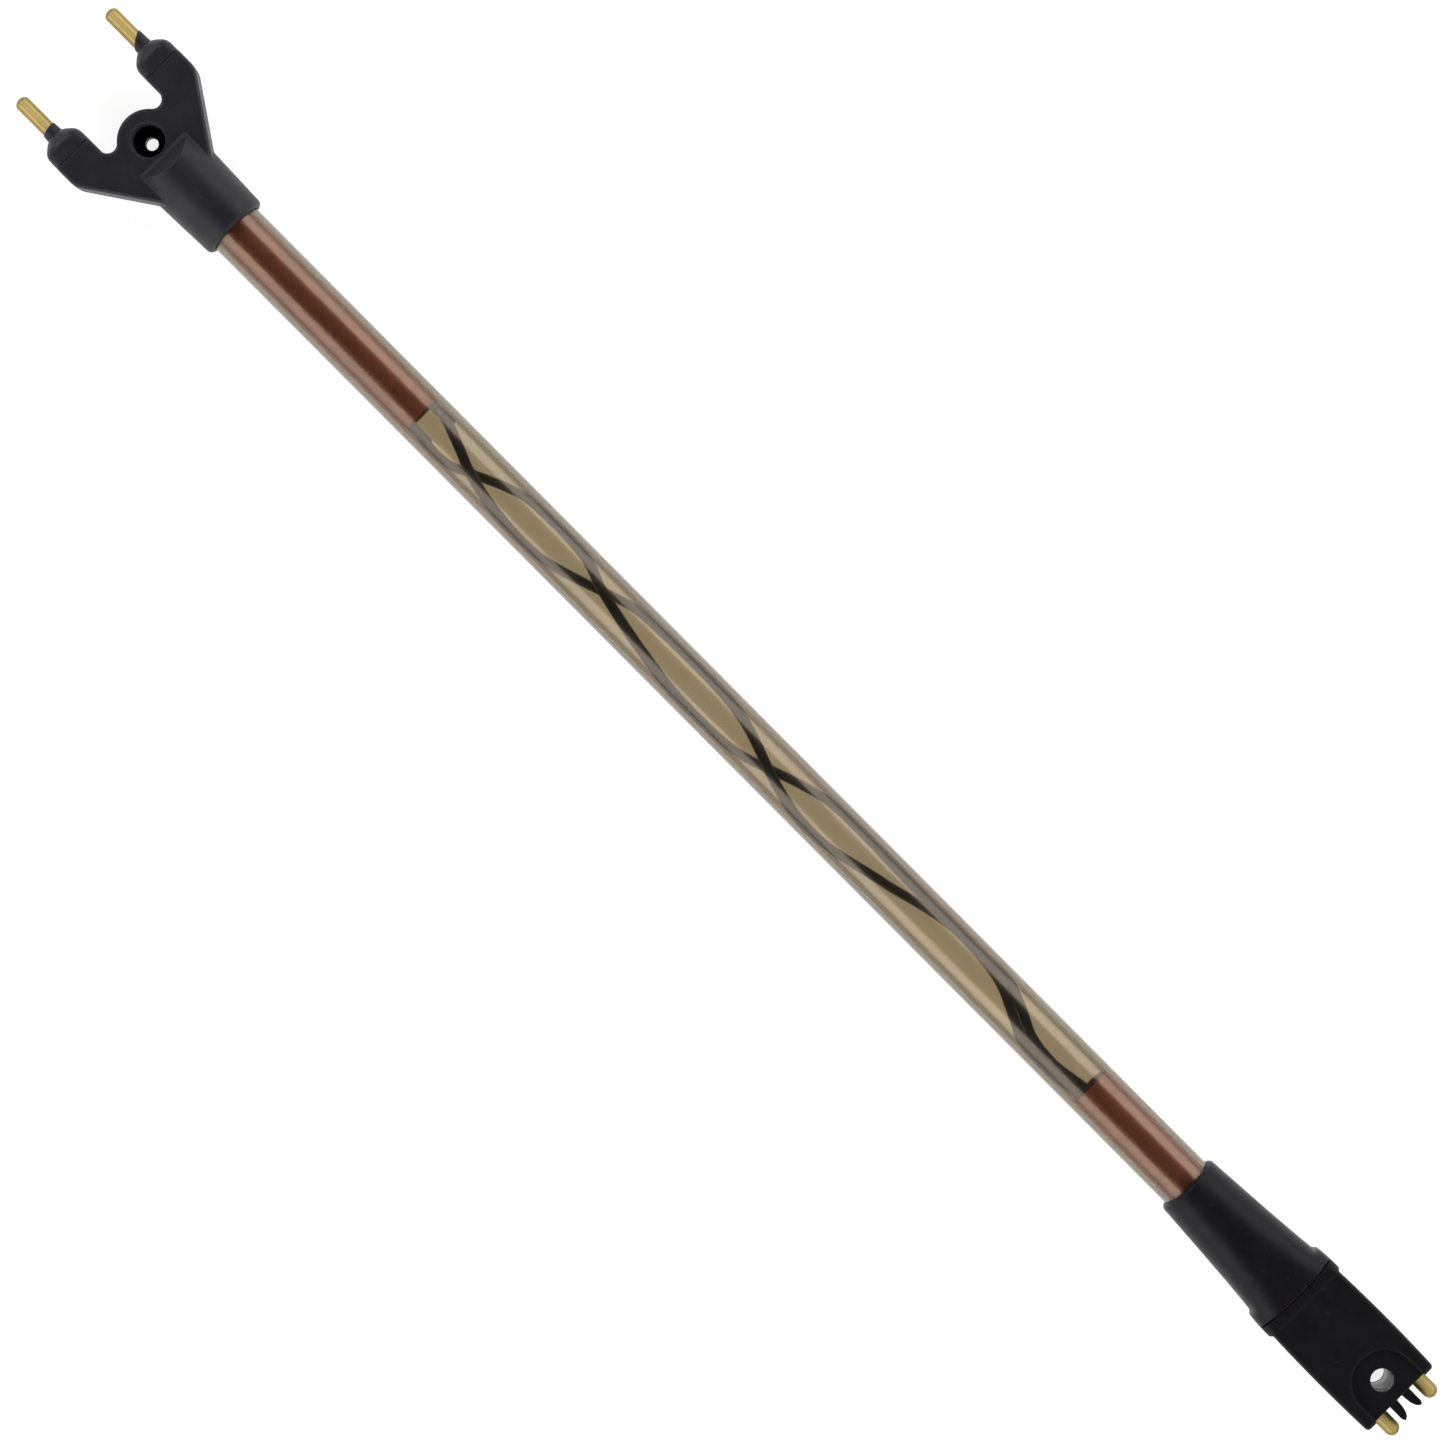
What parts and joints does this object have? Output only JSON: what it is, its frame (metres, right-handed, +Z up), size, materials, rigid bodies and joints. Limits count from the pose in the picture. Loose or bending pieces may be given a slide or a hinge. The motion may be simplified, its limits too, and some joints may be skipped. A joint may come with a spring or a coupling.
{
  "type": "livestock prod shaft",
  "caption": "Forked contact head on a clear flexible tube with inner leads, stiffening sleeves and a moulded plug that enters a prod handle.",
  "frame": {"origin": "on the surface that the shaft lies on, under the middle of its length", "axes": "+X from the plug to the electrode tips, +Y to the left, +Z up"},
  "size_m": [0.5828, 0.0514, 0.0232],
  "materials": {
    "head_plastic": "moulded dark grey thermoplastic, soft satin, fine parting-line flash",
    "boot_rubber": "dark grey flexible vinyl, soft satin",
    "plug_plastic": "near-black moulded plastic, satin",
    "clear_tube": "smoke-amber clear extruded plastic, glossy",
    "copper": "bright drawn copper",
    "brass": "turned brass, lightly polished",
    "lead_insulation": "black wire insulation, satin",
    "steel": "plain turned bushing"
  },
  "bodies": {
    "root": {"contact_head": "head_plastic", "left_tip_cap": "head_plastic", "right_tip_cap": "head_plastic", "left_electrode": "brass", "right_electrode": "brass", "left_electrode_terminal": "brass", "right_electrode_terminal": "brass", "shaft_tube": "clear_tube", "front_copper_sleeve": "copper", "rear_copper_sleeve": "copper", "left_lead_insulation": "lead_insulation", "right_lead_insulation": "lead_insulation", "left_lead_conductor": "copper", "right_lead_conductor": "copper", "rear_boot": "boot_rubber", "plug_body": "plug_plastic", "plug_bushing": "steel", "left_contact_pin": "brass", "right_contact_pin": "brass", "left_contact_terminal": "brass", "right_contact_terminal": "brass"}
  },
  "joints": []
}
